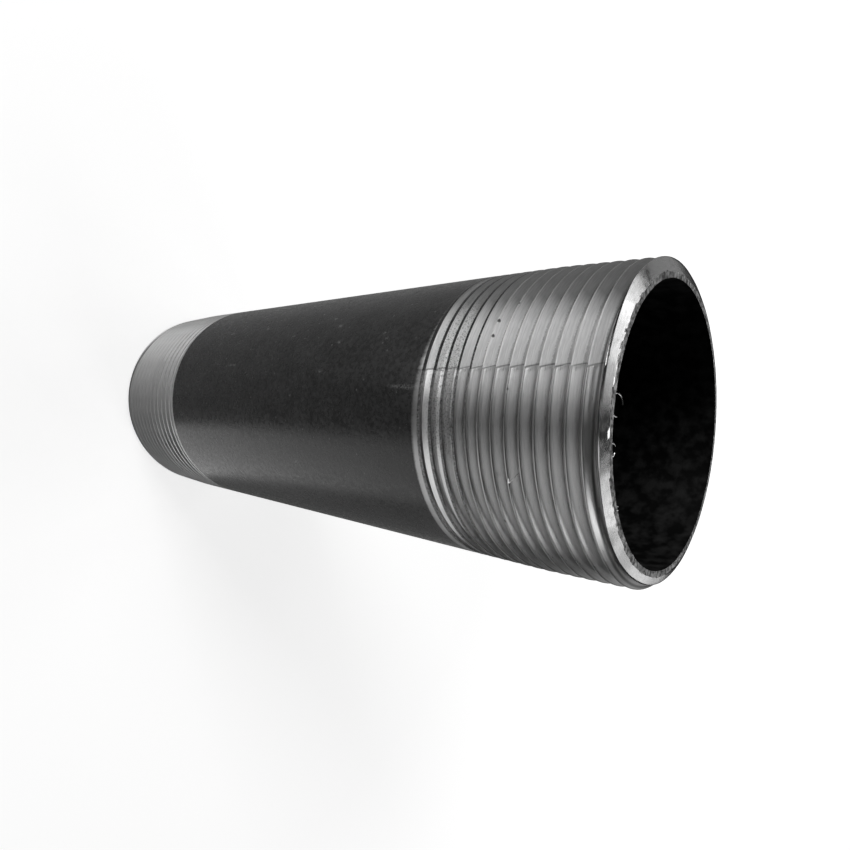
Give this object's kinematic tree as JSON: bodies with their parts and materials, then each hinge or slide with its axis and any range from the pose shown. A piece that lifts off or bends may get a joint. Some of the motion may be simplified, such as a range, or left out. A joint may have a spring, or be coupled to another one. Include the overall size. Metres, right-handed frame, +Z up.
{
  "type": "pipe nipple",
  "caption": "Short length of steel pipe with a tapered male thread on each end, for joining two threaded fittings.",
  "frame": {"origin": "centre of the lower end face, on the pipe's axis, where the nipple stands", "axes": "+Z up along the pipe's axis; the picture's near end is the upper end, and -Y is the side that the picture shows"},
  "size_m": [0.073, 0.073, 0.2032],
  "materials": {
    "black_steel": "black mill scale on the pipe, bright cut steel on the threads, bevels and end faces"
  },
  "bodies": {
    "root": {"pipe_nipple": "black_steel"}
  },
  "joints": []
}
